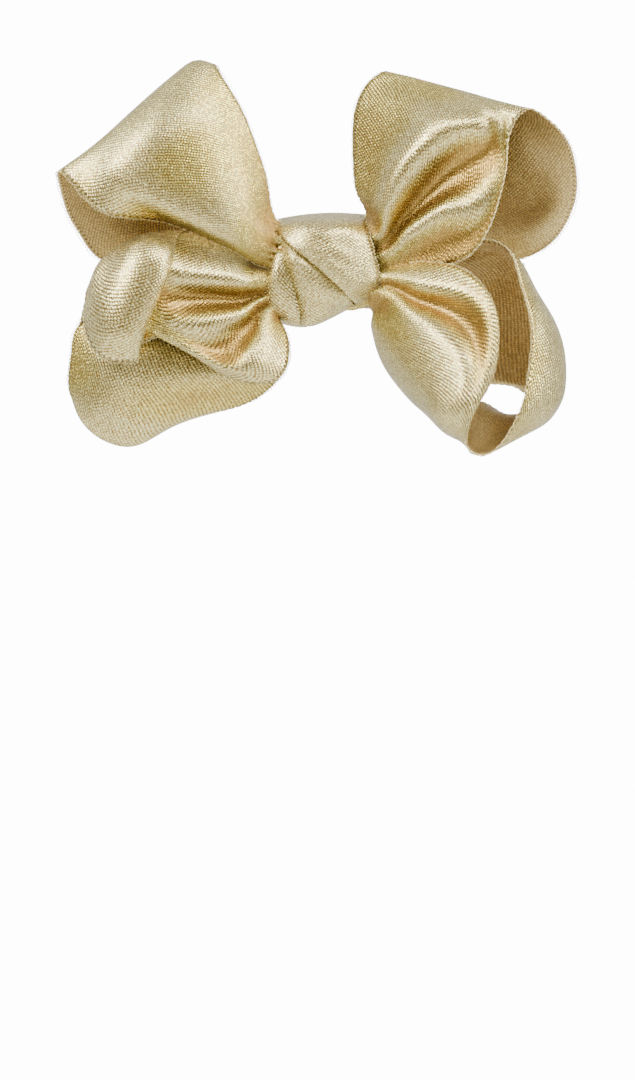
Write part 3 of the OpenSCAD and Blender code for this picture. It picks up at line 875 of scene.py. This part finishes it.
def tie_section(x, seed):
    """The film's outline across its width at x: thin wings each side of the wire's rib."""
    wing = 1.95 + 0.05 * math.sin(x * 2.3 + seed) + 0.03 * math.sin(x * 5.1)
    sag = 0.06 * math.sin(x * 0.9 + seed)
    front = [(-wing, -0.07), (-1.2, -0.09 - sag), (-0.62, -0.12), (-0.4, -0.3), (0, -0.42),
             (0.4, -0.3), (0.62, -0.12), (1.2, -0.09 + sag), (wing, -0.07)]
    rear = [(wing, 0.07), (1.2, 0.09 + sag), (0.62, 0.12), (0.4, 0.3), (0, 0.42), (-0.4, 0.3),
            (-0.62, 0.12), (-1.2, 0.09 - sag), (-wing, 0.07)]
    return front + rear


def make_tie():
    """The twist tie: each half is one film with its wire."""
    film = tie_film("tie_film")
    wire = bare_wire("tie_wire")
    tie_y, film_end, wire_end = -1.2, 40.8, 41.3
    for side, word in ((-1, "left"), (1, "right")):
        stops = np.linspace(0.0, film_end, 103)
        points = []
        for x in stops:
            slant = 0.12 * max(0.0, (x - 40) / 0.8)  # the end is cut a little askew
            for z, y in tie_section(side * x, 1.3):
                points.append(((side * (x + slant * z)) * MM, (tie_y + y) * MM, z * MM))
        ob = tube_mesh(word + "_tie_film", np.array(points), len(stops), 18, film)
        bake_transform(ob)
        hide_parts(word + "_tie_leg")
        if side < 0:
            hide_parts("tie_bridge")
        path = [(side * x, tie_y, 0) for x in np.linspace(0, wire_end, 84)]
        core = tube(word + "_tie_core", path, 0.2, wire, 12)
        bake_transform(core)
        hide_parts(word + "_tie_wire")
        if side < 0:
            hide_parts("tie_bridge_wire")


def make_floor():
    """A white floor some way below the bow."""
    bpy.ops.mesh.primitive_circle_add(vertices=96, radius=0.8, fill_type="NGON",
                                      location=(0, 0.1, -0.3))
    ob = bpy.context.object
    ob.name = "floor"
    ob.data.materials.append(floor_paper("white_paper"))


make_camera()
make_world()
area_light("key", (0.38, -0.5, 0.72), (0.4, 0.3), KEY)
area_light("left_low", (-0.6, -0.5, -0.55), (0.4, 0.3), LOW)
area_light("left", (-0.55, -0.5, 0.5), (0.4, 0.4), LEFT)
area_light("right", (0.75, -0.3, 0.3), (0.2, 0.5), SIDE)

outside = gold_cloth("gold_ribbon", (0.95, 0.87, 0.26, 1), (0.52, 0.32, 0.07, 1),
                     0.92, 0.28, PAINTED_FOLD_SHADING)
# The wrong side is less metallic. Its paler colours are partly the wrong side's own tone and partly
# painted light, standing in for the light that reaches the insides of the loops.
inside = gold_cloth("gold_ribbon_inside", (0.97, 0.81, 0.36, 1), (0.78, 0.55, 0.2, 1),
                    0.66, 0.36, -0.25)
selvage_thread = thread_metal("selvage_thread", (0.9, 0.76, 0.36, 1), 0.6, 0.36, 2400.0)
# Each loop has its folds in the fan, how far in mm they reach out of the knot on its front
# and back ends, and the seed of their random places.
for name, stations, folds, front_reach, back_reach, seed in (
    ("top_left_loop", TOP_LEFT, 5, 2.0, 14.0, 1),
    ("bottom_left_loop", BOTTOM_LEFT, 5, 2.0, 16.0, 2),
    ("top_right_loop", TOP_RIGHT, 4, 1.5, 14.0, 3),
    ("bottom_right_loop", BOTTOM_RIGHT, 5, 2.5, 18.0, 4),
):
    make_loop(name, stations, (outside, inside), folds, front_reach, back_reach, seed)
make_knot((outside, inside))
make_thread()
make_glue()
make_tie()
make_floor()
